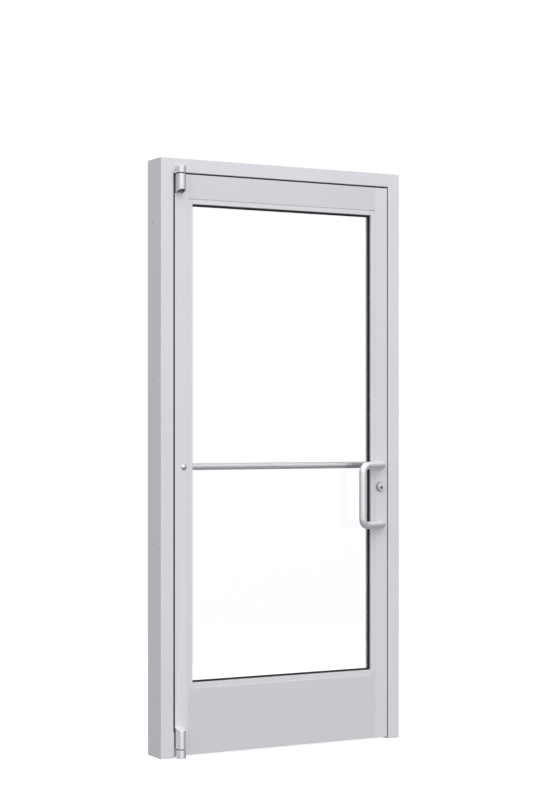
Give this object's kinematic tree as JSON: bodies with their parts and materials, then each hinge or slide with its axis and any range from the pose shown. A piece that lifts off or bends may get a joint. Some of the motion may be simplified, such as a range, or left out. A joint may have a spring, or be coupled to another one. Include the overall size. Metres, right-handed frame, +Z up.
{
  "type": "glass entrance door with frame",
  "caption": "Narrow stile aluminium entrance door with a clear glass pane, hung on offset pivots in its frame, with an offset pull, a push bar and a swing bolt lock.",
  "frame": {"origin": "floor level, on the middle of the frame's width, midway in depth between the front of the pull's grip and the rear of the frame", "axes": "+X from the hinge jamb to the strike jamb, +Y from the pull side to the push side, +Z up"},
  "size_m": [1.018, 0.1802, 2.18],
  "materials": {
    "anodised_extrusion": "satin clear anodised",
    "mill_aluminium": "mill",
    "satin_casting": "satin",
    "satin_rod": "bright satin",
    "plated_steel": "plated",
    "dark_acetal": "turned",
    "black_rubber": "matt",
    "clear_glass": "polished"
  },
  "bodies": {
    "frame": {"hinge_jamb": "anodised_extrusion", "strike_jamb": "anodised_extrusion", "frame_head": "anodised_extrusion", "head_joint_screws": "plated_steel", "hinge_door_stop": "anodised_extrusion", "strike_door_stop": "anodised_extrusion", "head_door_stop": "anodised_extrusion", "hinge_seal": "black_rubber", "strike_seal": "black_rubber", "head_seal": "black_rubber", "top_pivot_plate": "satin_casting", "top_pivot_pin": "plated_steel", "bottom_pivot_foot": "satin_casting", "bottom_pivot_pin": "plated_steel", "thrust_washer": "dark_acetal", "frame_pivot_screws": "plated_steel", "strike_plate": "plated_steel", "strike_screws": "plated_steel"},
    "leaf": {"hinge_stile": "anodised_extrusion", "lock_stile": "anodised_extrusion", "top_rail": "anodised_extrusion", "bottom_rail": "anodised_extrusion", "corner_clips": "mill_aluminium", "corner_bolts": "plated_steel", "glass_pane": "clear_glass", "setting_blocks": "black_rubber", "front_gasket": "black_rubber", "rear_gasket": "black_rubber", "front_stop_hinge": "anodised_extrusion", "front_stop_lock": "anodised_extrusion", "front_stop_top": "anodised_extrusion", "front_stop_bottom": "anodised_extrusion", "rear_stop_hinge": "anodised_extrusion", "rear_stop_lock": "anodised_extrusion", "rear_stop_top": "anodised_extrusion", "rear_stop_bottom": "anodised_extrusion", "top_pivot_arm": "satin_casting", "bottom_pivot_arm": "satin_casting", "pivot_bushings": "dark_acetal", "pivot_backers": "plated_steel", "door_pivot_screws": "plated_steel", "pull_handle": "satin_rod", "push_bar": "satin_rod", "through_studs": "plated_steel", "stud_caps": "satin_rod", "lock_case": "plated_steel", "lock_tabs": "plated_steel", "lock_faceplate": "plated_steel", "faceplate_screws": "plated_steel", "bolt_pivot": "plated_steel", "outer_cylinder": "satin_rod", "outer_collar": "satin_rod", "inner_cylinder": "satin_rod", "inner_collar": "satin_rod"},
    "bolt": {"swing_bolt": "plated_steel"},
    "key": {"key_plug": "plated_steel"},
    "turn": {"thumb_turn": "satin_rod"}
  },
  "joints": [
    {"name": "door_swing", "type": "hinge", "parent": "frame", "child": "leaf", "pos_m": [-0.436, -0.04385, 0], "axis": [0, 0, -1], "range_deg": [0, 170]},
    {"name": "bolt_throw", "type": "hinge", "parent": "leaf", "child": "bolt", "pos_m": [0.4405, -0.0016, 0.906], "axis": [0, 1, 0], "range_deg": [0, 90]},
    {"name": "key_turn", "type": "hinge", "parent": "leaf", "child": "key", "pos_m": [0.423, -0.0016, 0.97], "axis": [0, 1, 0], "range_deg": [0, 360]},
    {"name": "thumb_rotation", "type": "hinge", "parent": "leaf", "child": "turn", "pos_m": [0.423, -0.0016, 0.97], "axis": [0, 1, 0], "range_deg": [0, 360]}
  ],
  "couplings": [
    {"joint": "key_turn", "follows": "bolt_throw", "ratio": 4},
    {"joint": "thumb_rotation", "follows": "bolt_throw", "ratio": 4}
  ]
}
